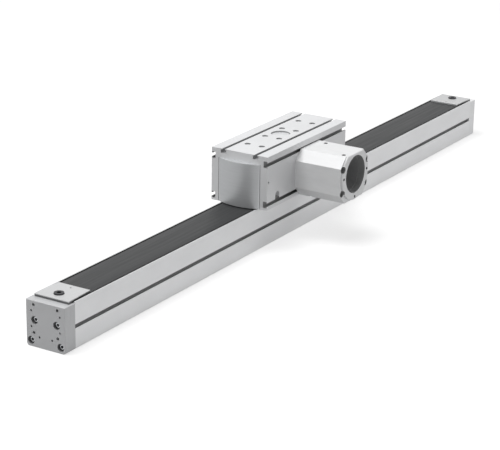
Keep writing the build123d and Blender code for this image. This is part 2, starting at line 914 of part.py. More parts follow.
def end_cap():
    """The front end cap with its screw holes, tool holes and pin holes."""
    body = along_x(beam_outline(cap_height), beam_front, beam_front + cap_thickness)
    body = chamfer(body.faces().sort_by(Axis.X)[0].edges(), cap_edge)
    for y, z in cap_screw_places():
        body = body - bar(y, z, cap_counterbore, beam_front, beam_front + cap_screw_seat)
        body = body - bar(y, z, m5["shank"] + shank_room, beam_front, beam_front + cap_thickness)
    for side in (-1, 1):
        for z in (tool_hole_low, tool_hole_high):
            y = side * tool_hole_y
            body = body - bar(y, z, tool_hole_radius, beam_front, beam_front + tool_hole_depth)
        for y, z in (pin_holes_side, pin_holes_side_upper, pin_holes_low):
            body = body - bar(side * y, z, pin_hole_radius, beam_front, beam_front + pin_hole_depth)
    return body


def end_cap_screws():
    """The eight screws of the two end caps."""
    found = []
    for y, z in cap_screw_places():
        piece = placed(screw(m5, cap_screw_length), (beam_front + cap_screw_seat, y, z), (-1, 0, 0))
        found += both_ends(piece, beam_shift)
    return found


def clamp_bolt_places():
    """The X places of the two belt clamp screws."""
    return (beam_front + clamp_bolt_x, beam_rear - clamp_bolt_x)


def clamp_plan(inset=0.0):
    """The clamp's outline seen from above, a little narrower towards the head."""
    start = beam_front + clamp_start + inset
    end = beam_front + clamp_end - inset
    outer = clamp_outer_half - inset
    inner = clamp_inner_half - inset
    return Polygon((start, -outer), (end, -inner), (end, inner), (start, outer), align=None)


def clamp_root_plan():
    """The part of the clamp that reaches down into the channel, seen from above."""
    half = channel_width / 2 - channel_play
    return patch(beam_front + cap_thickness, beam_front + clamp_root_end, -half, half)


def clamp_holes(low, high):
    """What the clamp's screw and its pin take out of a piece between two heights."""
    x = beam_front + clamp_bolt_x
    pin = post(beam_front + clamp_pin_x, 0, clamp_pin_radius, low, high)
    shank = post(x, 0, m8["shank"] + shank_room, clamp_root_height, clamp_bolt_seat)
    return [pin, shank, post(x, 0, m8["head"] + head_room, clamp_bolt_seat, high)]


def belt_clamp():
    """The front belt clamp: a root in the channel under a thin bright plate."""
    plate = extrude(Plane.XY.offset(clamp_pad_top) * clamp_plan(), clamp_plate)
    plate = chamfer(plate.faces().sort_by(Axis.Z)[-1].edges(), clamp_edge)
    depth = clamp_pad_top - clamp_root_height
    root = extrude(Plane.XY.offset(clamp_root_height) * clamp_root_plan(), depth)
    return plate + root - clamp_holes(clamp_pad_top, clamp_top)


def clamp_pad():
    """The dark pad between the front clamp's plate, the belt's end and the end cap."""
    plan = clamp_plan(pad_inset)
    sheet = extrude(Plane.XY.offset(belt_top) * (plan - clamp_root_plan()), pad_rise)
    half = clamp_outer_half
    over_cap = plan & patch(beam_front, beam_front + cap_thickness, -half, half)
    foot = extrude(Plane.XY.offset(cap_height) * over_cap, belt_top - cap_height)
    return sheet + foot - clamp_holes(belt_top, clamp_pad_top)


def belt_clamp_screws():
    """The two screws that press the clamps and the anchors on the channel's floor."""
    piece = screw(m8, clamp_bolt_length)
    return [Pos(x, 0, clamp_bolt_seat) * piece for x in clamp_bolt_places()]


def belt_anchor(x_low, x_high, root_low, root_high, teeth):
    """A toothed block under the belt's end, with a foot under the clamp's root."""
    half = channel_width / 2 - channel_play
    crest = belt_top - belt_web - mesh_clearance
    section = patch(min(x_low, root_low), max(x_high, root_high), channel_floor, clamp_root_height)
    section = section + patch(x_low, x_high, channel_floor, crest)
    grooves = [Pos(x, belt_line) * tooth(mesh_clearance) for x in teeth]
    return along_y(section - grooves, -half, half)


clamp_pin_top = clamp_top - clamp_pin_sink
clamp_pin_places = (beam_front + clamp_pin_x, beam_rear - clamp_pin_x)


def clamp_pin(x):
    """The dowel through the clamp's tongue and the belt into the anchor."""
    return post(x, 0, clamp_pin_radius, belt_bottom - clamp_pin_depth, clamp_pin_top)


front_run_ends = (beam_front + clamp_root_end, -loop_reach)
rear_run_ends = (loop_reach, beam_rear - clamp_root_end)


def front_belt():
    """The front run of the belt, and the places of its teeth."""
    teeth = run_teeth(*front_run_ends, -loop_reach - belt_pitch / 2, -belt_pitch)
    return belt_run(*front_run_ends, teeth), teeth


def rear_belt():
    """The rear run of the belt, and the places of its teeth."""
    left_over = belt_stations()[1]
    teeth = run_teeth(*rear_run_ends, loop_reach + left_over, belt_pitch)
    return belt_run(*rear_run_ends, teeth), teeth


def beam_end_pieces():
    """The belt runs, the anchors and the holes for their pins."""
    front, front_teeth = front_belt()
    rear, rear_teeth = rear_belt()
    pins = [clamp_pin(x) for x in clamp_pin_places]
    cap_in = beam_front + cap_thickness
    cap_out = beam_rear - cap_thickness
    low = beam_front + clamp_root_end
    high = beam_front + anchor_end
    front_anchor = belt_anchor(low, high, cap_in, low, front_teeth)
    low = beam_rear - anchor_end
    high = beam_rear - clamp_root_end
    rear_anchor = belt_anchor(low, high, high, cap_out, rear_teeth)
    for x in clamp_bolt_places():
        hole = post(x, 0, m8["shank"] + shank_room, channel_floor, clamp_root_height)
        front_anchor = front_anchor - hole
        rear_anchor = rear_anchor - hole
    return {
        "belt_run_front": front - pins[0],
        "belt_run_rear": rear - pins[1],
        "belt_anchor_front": front_anchor - pins[0],
        "belt_anchor_rear": rear_anchor - pins[1],
        "belt_pins": pins,
    }


def all_pieces():
    """Every node of the model by name."""
    cover = end_cover()
    cap = end_cap()
    clamp = belt_clamp()
    pad = clamp_pad()
    lift_half = beam_width / 2 - lip_thickness - running_gap
    wrap_places = [pulley_x - wrap_roller_spread, pulley_x + wrap_roller_spread]
    inner_race = shaft_radius + inner_ring_wall
    return {
        "head_housing": head_housing(),
        "end_cover_front": cover,
        "end_cover_rear": mirrored_x(cover),
        "end_cover_screws": end_cover_screws(),
        "coupling_housing": coupling_housing(),
        "coupling_housing_screws": coupling_housing_screws(),
        "saddle": saddle(),
        "saddle_screws": saddle_screws(),
        "carriage_front": carriage(-carriage_spacing / 2),
        "carriage_rear": carriage(carriage_spacing / 2),
        "carriage_seals": carriage_seals(),
        "carriage_screws": carriage_screws(),
        "bearing_outer_rings": bearing_rings(bearing_radius, inner_race + seal_gap),
        "bearing_inner_rings": bearing_rings(inner_race, shaft_radius),
        "lift_roller_axles": [roller_axle(x, lift_roller_z) for x in (-lift_roller_x, lift_roller_x)],
        "wrap_roller_axles": [roller_axle(x, wrap_roller_z) for x in wrap_places],
        "lift_roller_front": roller(-lift_roller_x, lift_roller_z, lift_roller_radius, lift_half),
        "lift_roller_rear": roller(lift_roller_x, lift_roller_z, lift_roller_radius, lift_half),
        "wrap_roller_front": roller(wrap_places[0], wrap_roller_z, wrap_roller_radius, lift_half),
        "wrap_roller_rear": roller(wrap_places[1], wrap_roller_z, wrap_roller_radius, lift_half),
        "belt_loop": belt_loop(),
        "drive_pulley": drive_pulley(),
        "pulley_flanges": pulley_flanges(),
        "drive_shaft": drive_shaft(),
        "shaft_key": shaft_key(),
        "shaft_spacers": shaft_spacers(),
        "coupling_hub": coupling_hub(),
        "coupling_clamp_screw": clamp_screw(),
        "beam_profile": beam_profile(),
        "guide_rail": guide_rail(),
        "guide_rail_screws": guide_rail_screws(),
        "end_cap_front": cap,
        "end_cap_rear": mirrored_x(cap, beam_shift),
        "end_cap_screws": end_cap_screws(),
        "belt_clamp_front": clamp,
        "belt_clamp_rear": mirrored_x(clamp, beam_shift),
        "clamp_pad_front": pad,
        "clamp_pad_rear": mirrored_x(pad, beam_shift),
        "belt_clamp_screws": belt_clamp_screws(),
        **beam_end_pieces(),
    }


def write_pieces():
    """Writes each node to its own STEP file."""
    os.makedirs("parts", exist_ok=True)
    for name, piece in all_pieces().items():
        shape = Compound(children=piece) if isinstance(piece, list) else piece
        export_step(shape, f"parts/{name}.step")


write_pieces()
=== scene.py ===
"""The look of a cantilever actuator: satin aluminium, a black toothed belt and dark screws."""

import json
from math import cos, pi, radians, sin

import bpy
from mathutils import Matrix, Vector


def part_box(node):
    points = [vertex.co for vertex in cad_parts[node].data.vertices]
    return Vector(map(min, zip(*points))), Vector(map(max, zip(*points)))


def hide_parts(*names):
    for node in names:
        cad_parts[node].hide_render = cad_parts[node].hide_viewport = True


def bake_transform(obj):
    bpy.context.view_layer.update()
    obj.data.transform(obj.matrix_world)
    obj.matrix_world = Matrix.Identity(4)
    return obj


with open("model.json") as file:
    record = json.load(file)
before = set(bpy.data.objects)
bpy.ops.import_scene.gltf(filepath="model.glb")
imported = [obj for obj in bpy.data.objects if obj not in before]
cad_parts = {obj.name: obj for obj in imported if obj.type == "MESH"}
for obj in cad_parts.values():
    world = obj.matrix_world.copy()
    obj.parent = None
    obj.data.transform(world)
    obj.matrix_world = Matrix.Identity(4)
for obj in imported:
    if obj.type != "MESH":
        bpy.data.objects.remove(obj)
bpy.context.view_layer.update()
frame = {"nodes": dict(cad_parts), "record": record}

# Belt, in metres
BELT_PITCH = 0.005
BELT_WEB = 0.0015
BELT_TOOTH = 0.0012
BELT_EDGE = 0.0003
BELT_INSET = 0.0010
BELT_BORDER = 0.0010

# Cells across a belt strip, and how near to a plane a face counts as lying in it, in metres
BELT_CELLS_ACROSS = 4
TOUCH = 0.00001

# Angles above which an edge is bevelled or kept sharp, in degrees
BEVEL_ANGLE = 60
SMOOTH_ANGLE = 35

# T slots of head and beam, in metres
SLOT_DEPTH = 0.0063
SLOT_HALF = 0.0047
SLOT_RIM = 0.00005
ROOF_SLOT_INSET = 0.0195
HEAD_SLOT_LOW = 0.0081
HEAD_SLOT_HIGH = 0.0111
BEAM_SLOT_HEIGHT = 0.0312

# Bore of the coupling housing, in metres
BORE_RADIUS = 0.0277
BORE_FLOOR = 0.0535

# Holes of the coupling housing, from the drive axis and the head's wall, in metres and degrees
HOLE_PLAY = 0.0001
RING_HOLE_RADIUS = 0.0021
RING_HOLE_CIRCLE = 0.0335
RING_HOLE_ANGLES = (0, 180, 270)
POCKET_RADIUS = 0.00475
POCKET_X = 0.0343
POCKET_Z = 0.0178
POCKET_DROP = 0.0038
TOP_HOLE_RADIUS = 0.0030
TOP_HOLES = ((0.0180, 0.0162), (-0.0180, 0.0660))
FOOT_HOLE = (-0.0242, 0.0184)
FOOT_DEPTH = 0.012

# Edges of the end covers that get a painted highlight, and the painted shadow line beside them on
# the head, in metres
COVER_LEDGE = 0.0010
COVER_BORDER = 0.0010
COVER_GAP = 0.0011
END_SKIN = 0.0002

# Inner ends of the clamp pads, which get a painted highlight, in metres
PAD_LEDGE = 0.0003

# Cap screws, by their distance from the beam's middle and their height, in metres
CAP_SCREWS = ((0.0170, 0.0358), (0.0228, 0.0082))
CAP_SCREW_RADIUS = 0.0053
SCREW_FACE_RADIUS = 0.0030
SOCKET_RADIUS = 0.0021

# Belt seat of the beam, and the lips beside it, in metres
SEAT_HALF = 0.02825
SEAT_FLOOR = 0.040
LIP_SKIN = 0.0002

# Walls of the recesses in the head's roof, in metres
ROOF_WALL_DEPTH = 0.002
ROOF_WALL_REACH = 0.018
ROOF_WALL_MARGIN = 0.010

# Painted shade in recesses and painted highlights on thin edges, as shares of the finish around
# them
SLOT_SHADE = 0.4
BEAM_SLOT_SHADE = 0.48
ROOF_SLOT_SHADE = 0.6
BORE_SHADE = 0.45
SEAT_SHADE = 0.05
HOLE_SHADE = 0.12
POCKET_SHADE = 0.45
LIP_SHADE = 0.75
BELT_EDGE_SHADE = 0.25
SCREW_RIM_SHADE = 0.3
SCREW_FACE_HIGHLIGHT = 1.4
ROOF_WALL_SHADE = 0.45
COVER_EDGE_HIGHLIGHT = 1.35
COVER_GAP_SHADE = 0.4
PAD_END_HIGHLIGHT = 6.0
CAP_SCREW_SHADE = 0.55

# Camera, fitted to the edges of the photograph, in metres and degrees, its lens in millimetres
CAMERA_PLACE = Vector((-2.2183, -1.3136, 0.9064))
CAMERA_YAW = 31.566
CAMERA_PITCH = 19.346
CAMERA_ROLL = 0.933
CAMERA_LENS = 133.755
SENSOR_WIDTH = 36.0
VIEW_DEPTH = 20

# Light levels, where one is white
WORLD_LEVEL = 0.20
FLOOR_COLOUR = 0.42
FLOOR_GLOW = 0.66

# Floor, in metres
FLOOR_SIZE = 14
FLOOR_DROP = 0.0002

# Values of a noise that count as low and high
NOISE_LOW = 0.3
NOISE_HIGH = 0.7

# Grains and lines of the finishes, as noise scales per metre
ETCHED_GRAIN = (5200.0, 5200.0, 5200.0)
BLASTED_GRAIN = (4200.0, 4200.0, 4200.0)
TURNED_GRAIN = (3800.0, 3800.0, 3800.0)
SPARK_GRAIN = (2400.0, 2400.0, 2400.0)
SCREW_GRAIN = (900.0, 900.0, 900.0)
DIE_LINES = (4.0, 2600.0, 2600.0)
DIE_CLOUD = (14.0, 30.0, 30.0)
BELT_LINES = (1500.0, 60.0, 60.0)
BELT_WEAR = (9.0, 240.0, 240.0)
TURNING_RINGS = 260.0
HOUSING_MARKS = (90.0, 30.0, 90.0)
CAP_MARKS = (300.0, 30.0, 30.0)
CLAMP_MARKS = (60.0, 400.0, 60.0)
COVER_MARKS = (30.0, 30.0, 700.0)
STEEL_STREAKS = (5.0, 1800.0, 1800.0)


def deselect():
    """Returns to object mode with nothing selected."""
    if bpy.context.object and bpy.context.object.mode != "OBJECT":
        bpy.ops.object.mode_set(mode="OBJECT")
    bpy.ops.object.select_all(action="DESELECT")


def settle(piece, name):
    """Names a piece and moves its place into its mesh."""
    deselect()
    piece.select_set(True)
    bpy.context.view_layer.objects.active = piece
    bpy.ops.object.transform_apply(location=True, rotation=True, scale=True)
    piece.name = name
    piece.data.name = name
    return piece


def pick_faces(piece, wanted):
    """Selects the faces of a piece that a test accepts, and enters edit mode."""
    bpy.ops.object.mode_set(mode="OBJECT")
    for edge in piece.data.edges:
        edge.select = False
    for vertex in piece.data.vertices:
        vertex.select = False
    for face in piece.data.polygons:
        face.select = wanted(face)
    bpy.ops.object.mode_set(mode="EDIT")
    bpy.ops.mesh.select_mode(type="FACE")


# Materials
class Finish:
    """A node material with a Principled shader and helpers for its patterns."""

    def __init__(self, name, colour, metallic, roughness):
        self.material = bpy.data.materials.new(name)
        self.material.use_nodes = True
        self.nodes = self.material.node_tree.nodes
        self.links = self.material.node_tree.links
        self.shader = self.nodes["Principled BSDF"]
        self.shader.inputs["Base Color"].default_value = (*colour, 1)
        self.shader.inputs["Metallic"].default_value = metallic
        self.shader.inputs["Roughness"].default_value = roughness
        self.colour = colour
        self.bump = None

    def coordinates(self, scale):
        """Object coordinates stretched by a scale."""
        source = self.nodes.new("ShaderNodeTexCoord")
        mapping = self.nodes.new("ShaderNodeMapping")
        mapping.inputs["Scale"].default_value = scale
        self.links.new(source.outputs["Object"], mapping.inputs["Vector"])
        return mapping.outputs["Vector"]

    def noise(self, scale, detail=3.0, rough=0.55):
        """Noise stretched along the axes by a scale."""
        texture = self.nodes.new("ShaderNodeTexNoise")
        texture.inputs["Scale"].default_value = 1.0
        texture.inputs["Detail"].default_value = detail
        texture.inputs["Roughness"].default_value = rough
        self.links.new(self.coordinates(scale), texture.inputs["Vector"])
        return texture.outputs["Fac"]

    def ramp(self, source, low, high):
        """A number between low and high that follows a pattern."""
        node = self.nodes.new("ShaderNodeMapRange")
        node.inputs["From Min"].default_value = NOISE_LOW
        node.inputs["From Max"].default_value = NOISE_HIGH
        node.inputs["To Min"].default_value = low
        node.inputs["To Max"].default_value = high
        self.links.new(source, node.inputs["Value"])
        return node.outputs["Result"]

    def vary_colour(self, source, spread):
        """Makes the colour lighter and darker by a share, following a pattern."""
        node = self.nodes.new("ShaderNodeMix")
        node.data_type = "RGBA"
        dark = [c * (1 - spread) for c in self.colour]
        light = [min(1.0, c * (1 + spread)) for c in self.colour]
        node.inputs["A"].default_value = (*dark, 1)
        node.inputs["B"].default_value = (*light, 1)
        self.links.new(self.ramp(source, 0.0, 1.0), node.inputs["Factor"])
        self.links.new(node.outputs["Result"], self.shader.inputs["Base Color"])

    def maths(self, operation, *values):
        """One math node on numbers and sockets."""
        node = self.nodes.new("ShaderNodeMath")
        node.operation = operation
        for socket, value in zip(node.inputs, values):
            if isinstance(value, float):
                socket.default_value = value
            else:
                self.links.new(value, socket)
        return node.outputs["Value"]

    def place(self):
        """The three object coordinates of a point."""
        source = self.nodes.new("ShaderNodeTexCoord")
        split = self.nodes.new("ShaderNodeSeparateXYZ")
        self.links.new(source.outputs["Object"], split.inputs["Vector"])
        return [split.outputs[axis] for axis in "XYZ"]

    def shade(self, mask, share):
        """Paints shade or a highlight into the colour: takes it to a share of itself where a mask
        is one.
        """
        node = self.nodes.new("ShaderNodeMix")
        node.data_type = "RGBA"
        base = self.shader.inputs["Base Color"]
        self.links.new(base.links[0].from_socket, node.inputs["A"])
        node.inputs["B"].default_value = (*[min(1.0, c * share) for c in self.colour], 1)
        self.links.new(mask, node.inputs["Factor"])
        self.links.new(node.outputs["Result"], base)

    def vary_roughness(self, source, low, high):
        """Lets the roughness follow a pattern."""
        self.links.new(self.ramp(source, low, high), self.shader.inputs["Roughness"])

    def relief(self, source, depth, strength):
        """Adds a pattern to the surface's relief."""
        node = self.nodes.new("ShaderNodeBump")
        node.inputs["Distance"].default_value = depth
        node.inputs["Strength"].default_value = strength
        self.links.new(source, node.inputs["Height"])
        if self.bump:
            self.links.new(self.bump.outputs["Normal"], node.inputs["Normal"])
        self.links.new(node.outputs["Normal"], self.shader.inputs["Normal"])
        self.bump = node

    def rings(self, centre, scale):
        """Fine turning rings about an axis along Y through a centre."""
        source = self.nodes.new("ShaderNodeTexCoord")
        mapping = self.nodes.new("ShaderNodeMapping")
        mapping.inputs["Location"].default_value = (-centre[0], 0, -centre[1])
        wave = self.nodes.new("ShaderNodeTexWave")
        wave.wave_type = "RINGS"
        wave.rings_direction = "Y"
        wave.inputs["Scale"].default_value = scale
        wave.inputs["Distortion"].default_value = 0.6
        wave.inputs["Detail"].default_value = 2.0
        self.links.new(source.outputs["Object"], mapping.inputs["Vector"])
        self.links.new(mapping.outputs["Vector"], wave.inputs["Vector"])
        return wave.outputs["Fac"]


def extruded(name, colour, metallic, roughness):
    """Anodised extrusion: fine die lines along X, a soft cloud and a grain of etching."""
    finish = Finish(name, colour, metallic, roughness)
    lines = finish.noise(DIE_LINES, detail=4.0)
    cloud = finish.noise(DIE_CLOUD, detail=2.0)
    grain = finish.noise(ETCHED_GRAIN, detail=2.0)
    finish.vary_colour(cloud, 0.025)
    finish.vary_roughness(lines, roughness - 0.06, roughness + 0.08)
    finish.relief(lines, depth=0.00002, strength=0.25)
    finish.relief(grain, depth=0.00001, strength=0.2)
    return finish


def milled(name, colour, metallic, roughness, along):
    """Milled and blasted aluminium: faint cutter marks and a fine grain."""
    finish = Finish(name, colour, metallic, roughness)
    marks = finish.noise(along, detail=3.0)
    grain = finish.noise(BLASTED_GRAIN, detail=2.0)
    finish.vary_colour(marks, 0.03)
    finish.vary_roughness(grain, roughness - 0.05, roughness + 0.07)
    finish.relief(grain, depth=0.000012, strength=0.3)
    return finish


def turned(name, colour, metallic, roughness, centre):
    """Turned metal: fine rings about the drive axis."""
    finish = Finish(name, colour, metallic, roughness)
    rings = finish.rings(centre, TURNING_RINGS)
    grain = finish.noise(TURNED_GRAIN, detail=2.0)
    finish.vary_colour(grain, 0.03)
    finish.vary_roughness(rings, roughness - 0.05, roughness + 0.07)
    finish.relief(rings, depth=0.00001, strength=0.18)
    return finish


def ground(name, colour, roughness, along):
    """Ground or drawn steel with streaks along one axis."""
    finish = Finish(name, colour, 1.0, roughness)
    streaks = finish.noise(along, detail=4.0)
    finish.vary_colour(streaks, 0.05)
    finish.vary_roughness(streaks, roughness - 0.06, roughness + 0.1)
    finish.relief(streaks, depth=0.00001, strength=0.2)
    return finish


def moulded(name, colour, roughness):
    """Moulded plastic with a fine spark texture."""
    finish = Finish(name, colour, 0.0, roughness)
    spark = finish.noise(SPARK_GRAIN, detail=2.0)
    finish.vary_colour(spark, 0.08)
    finish.vary_roughness(spark, roughness - 0.08, roughness + 0.08)
    finish.relief(spark, depth=0.00003, strength=0.35)
    return finish


def rubber(name, colour, roughness):
    """Belt rubber: fine grinding lines across, and dusty wear along the run."""
    finish = Finish(name, colour, 0.0, roughness)
    cross = finish.noise(BELT_LINES, detail=3.0)
    wear = finish.noise(BELT_WEAR, detail=3.0)
    finish.vary_colour(wear, 0.14)
    finish.vary_roughness(wear, roughness - 0.06, roughness + 0.08)
    finish.relief(cross, depth=0.00003, strength=0.3)
    finish.shader.inputs["Specular IOR Level"].default_value = 0.3
    return finish


# The drive axis, by its X and Z
drive_low, drive_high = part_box("drive_pulley")
drive_centre = ((drive_low.x + drive_high.x) / 2, (drive_low.z + drive_high.z) / 2)

# Each finish by its name, with its colour, its share of metal where that varies, and its roughness
FINISHES = {
    # The head's extrusion is coloured darker than the beam's to match its sides and ends, which
    # lie in shade: painted shade over the whole head
    "anodised_housing": extruded("anodised_housing", (0.72, 0.725, 0.735), 0.12, 0.45),
    "anodised_beam": extruded("anodised_beam", (0.85, 0.855, 0.865), 0.24, 0.42),
    "coupling_housing": milled("coupling_housing", (0.76, 0.765, 0.77), 0.10, 0.55, HOUSING_MARKS),
    "machined_aluminium": milled("machined_aluminium", (0.545, 0.55, 0.56), 0.17, 0.45, CAP_MARKS),
    "light_cap": milled("light_cap", (0.84, 0.845, 0.855), 0.20, 0.45, CAP_MARKS),
    "clamp_aluminium": milled("clamp_aluminium", (0.57, 0.575, 0.58), 0.15, 0.42, CLAMP_MARKS),
    "bright_cover": milled("bright_cover", (0.46, 0.47, 0.48), 0.45, 0.38, COVER_MARKS),
    "steel": ground("steel", (0.58, 0.58, 0.60), 0.28, STEEL_STREAKS),
    "roller_aluminium": turned("roller_aluminium", (0.60, 0.61, 0.62), 0.6, 0.36, drive_centre),
    "zinc_screws": ground("zinc_screws", (0.42, 0.43, 0.44), 0.34, SCREW_GRAIN),
    "cap_screws": ground("cap_screws", (0.42, 0.43, 0.44), 0.34, SCREW_GRAIN),
    "black_screws": ground("black_screws", (0.06, 0.06, 0.065), 0.42, SCREW_GRAIN),
    "belt": rubber("belt", (0.028, 0.029, 0.030), 0.52),
    "dark_plastic": moulded("dark_plastic", (0.035, 0.035, 0.037), 0.50),
    # The clamp pads' dark grey stands for the shaded sides of the clamp plates above them: painted
    # shade
    "clamp_pad": moulded("clamp_pad", (0.14, 0.142, 0.145), 0.50),
}

# Nodes that don't take the finish of their material slot
SPECIAL = {
    "coupling_housing": "coupling_housing",
    "belt_clamp_front": "clamp_aluminium",
    "belt_clamp_rear": "clamp_aluminium",
    "belt_pins": "black_screws",
    "end_cap_rear": "light_cap",
    "end_cap_screws": "cap_screws",
    "end_cover_screws": "black_screws",
    "clamp_pad_front": "clamp_pad",
    "clamp_pad_rear": "clamp_pad",
    "coupling_housing_screws": "black_screws",
}


def slot_in_side(finish, face, height):
    """One inside the T slots that open to both sides at a height."""
    y, z = finish.place()[1:]
    middle = face - SLOT_DEPTH / 2 - SLOT_RIM
    deep = finish.maths("COMPARE", finish.maths("ABSOLUTE", y), middle, SLOT_DEPTH / 2)
    level = finish.maths("COMPARE", z, height, SLOT_HALF)
    return finish.maths("MULTIPLY", deep, level)


def slot_in_roof(finish, roof, across):
    """One inside the two T slots that open upwards."""
    y, z = finish.place()[1:]
    middle = roof - SLOT_DEPTH / 2 - SLOT_RIM
    deep = finish.maths("COMPARE", z, middle, SLOT_DEPTH / 2)
    beside = finish.maths("COMPARE", finish.maths("ABSOLUTE", y), across, SLOT_HALF)
    return finish.maths("MULTIPLY", deep, beside)


def inside_seat(finish, top):
    """One inside the belt's seat and the channel under it."""
    y, z = finish.place()[1:]
    beside = finish.maths("LESS_THAN", finish.maths("ABSOLUTE", y), SEAT_HALF)
    low = finish.maths("COMPARE", z, (SEAT_FLOOR + top) / 2, (top - SEAT_FLOOR) / 2)
    return finish.maths("MULTIPLY", beside, low)


def roof_walls(finish, high):
    """One on the walls of the recess and the sleeve seats in the roof."""
    x, y, z = finish.place()
    beside = finish.maths("LESS_THAN", finish.maths("ABSOLUTE", y), ROOF_WALL_REACH)
    along = finish.maths("LESS_THAN", finish.maths("ABSOLUTE", x), high.x - ROOF_WALL_MARGIN)
    middle = high.z - SLOT_RIM - ROOF_WALL_DEPTH / 2
    level = finish.maths("COMPARE", z, middle, ROOF_WALL_DEPTH / 2)
    return finish.maths("MULTIPLY", finish.maths("MULTIPLY", beside, along), level)


def near_axis(finish, first, second, centre, radius):
    """One within a radius of an axis, by the two coordinates across it."""
    one = finish.maths("POWER", finish.maths("SUBTRACT", first, centre[0]), 2.0)
    other = finish.maths("POWER", finish.maths("SUBTRACT", second, centre[1]), 2.0)
    return finish.maths("LESS_THAN", finish.maths("ADD", one, other), radius**2)


def inside_bore(finish, low, high):
    """One on the walls of the coupling housing's bore, between two limits in Y."""
    x, y, z = finish.place()
    near = near_axis(finish, x, z, drive_centre, BORE_RADIUS)
    deep = finish.maths("COMPARE", y, (low + high) / 2, (high - low) / 2)
    return finish.maths("MULTIPLY", near, deep)


def largest(finish, masks):
    """One where any of several masks is one."""
    whole = masks[0]
    for mask in masks[1:]:
        whole = finish.maths("MAXIMUM", whole, mask)
    return whole


def screw_pockets(finish, low):
    """One in the four screw pockets of the coupling housing, below their rims."""
    x, y, z = finish.place()
    found = []
    for side in (-1, 1):
        for level in (-1, 1):
            across = drive_centre[0] + side * POCKET_X
            upward = drive_centre[1] - POCKET_DROP + level * POCKET_Z
            found.append(near_axis(finish, x, z, (across, upward), POCKET_RADIUS + HOLE_PLAY))
    behind = finish.maths("GREATER_THAN", y, low.y + SLOT_RIM)
    return finish.maths("MULTIPLY", largest(finish, found), behind)


def housing_holes(finish, low, high):
    """One in the small holes of the coupling housing, below their rims."""
    x, y, z = finish.place()
    found = []
    behind = finish.maths("GREATER_THAN", y, low.y + SLOT_RIM)
    for angle in RING_HOLE_ANGLES:
        across = drive_centre[0] + RING_HOLE_CIRCLE * cos(radians(angle))
        upward = drive_centre[1] + RING_HOLE_CIRCLE * sin(radians(angle))
        hole = near_axis(finish, x, z, (across, upward), RING_HOLE_RADIUS + HOLE_PLAY)
        found.append(finish.maths("MULTIPLY", hole, behind))
    top_depth = (high.z - drive_centre[1]) / 2
    below = finish.maths("COMPARE", z, high.z - top_depth - SLOT_RIM, top_depth)
    above = finish.maths("COMPARE", z, low.z + FOOT_DEPTH / 2 + SLOT_RIM, FOOT_DEPTH / 2)
    for (across, depth), rim in ((TOP_HOLES[0], below), (TOP_HOLES[1], below), (FOOT_HOLE, above)):
        middle = (drive_centre[0] + across, high.y - depth)
        hole = near_axis(finish, x, y, middle, TOP_HOLE_RADIUS + HOLE_PLAY)
        found.append(finish.maths("MULTIPLY", hole, rim))
    return largest(finish, found)


def cover_edges(finish, high):
    """One on the top ledge and the side borders of the end covers."""
    y, z = finish.place()[1:]
    ledge = finish.maths("GREATER_THAN", z, high.z - COVER_LEDGE)
    border = finish.maths("GREATER_THAN", finish.maths("ABSOLUTE", y), high.y - COVER_BORDER)
    return finish.maths("MAXIMUM", ledge, border)


def cover_gap_shadow(finish, high):
    """One on the head's end faces in a thin strip beside the end covers."""
    x, y, z = finish.place()
    cover_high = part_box("end_cover_front")[1]
    middle = cover_high.y + COVER_GAP / 2
    strip = finish.maths("COMPARE", finish.maths("ABSOLUTE", y), middle, COVER_GAP / 2)
    end = finish.maths("GREATER_THAN", finish.maths("ABSOLUTE", x), high.x - END_SKIN)
    below = finish.maths("LESS_THAN", z, cover_high.z)
    return finish.maths("MULTIPLY", finish.maths("MULTIPLY", strip, end), below)


def pad_ends(finish):
    """One on the inner end faces of the two clamp pads."""
    x = finish.place()[0]
    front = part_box("clamp_pad_front")[1].x - PAD_LEDGE
    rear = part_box("clamp_pad_rear")[0].x + PAD_LEDGE
    return finish.maths("COMPARE", x, (front + rear) / 2, (rear - front) / 2)


def cap_counterbores(finish, nodes):
    """One on the walls of the cap screws' counterbores, below their rims."""
    x, y, z = finish.place()
    aside = finish.maths("ABSOLUTE", y)
    near = [near_axis(finish, aside, z, place, CAP_SCREW_RADIUS) for place in CAP_SCREWS]
    outer = [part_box(node) for node in nodes]
    rims = (min(low.x for low, high in outer), max(high.x for low, high in outer))
    half = (rims[1] - rims[0]) / 2 - SLOT_RIM
    inside = finish.maths("COMPARE", x, (rims[0] + rims[1]) / 2, half)
    return finish.maths("MULTIPLY", finish.maths("MAXIMUM", *near), inside)


def screw_ring(finish, inner, outer):
    """One between two radii of the cap screws."""
    y, z = finish.place()[1:]
    aside = finish.maths("ABSOLUTE", y)
    wide = [near_axis(finish, aside, z, place, outer) for place in CAP_SCREWS]
    narrow = [near_axis(finish, aside, z, place, inner) for place in CAP_SCREWS]
    return finish.maths("SUBTRACT", largest(finish, wide), largest(finish, narrow))


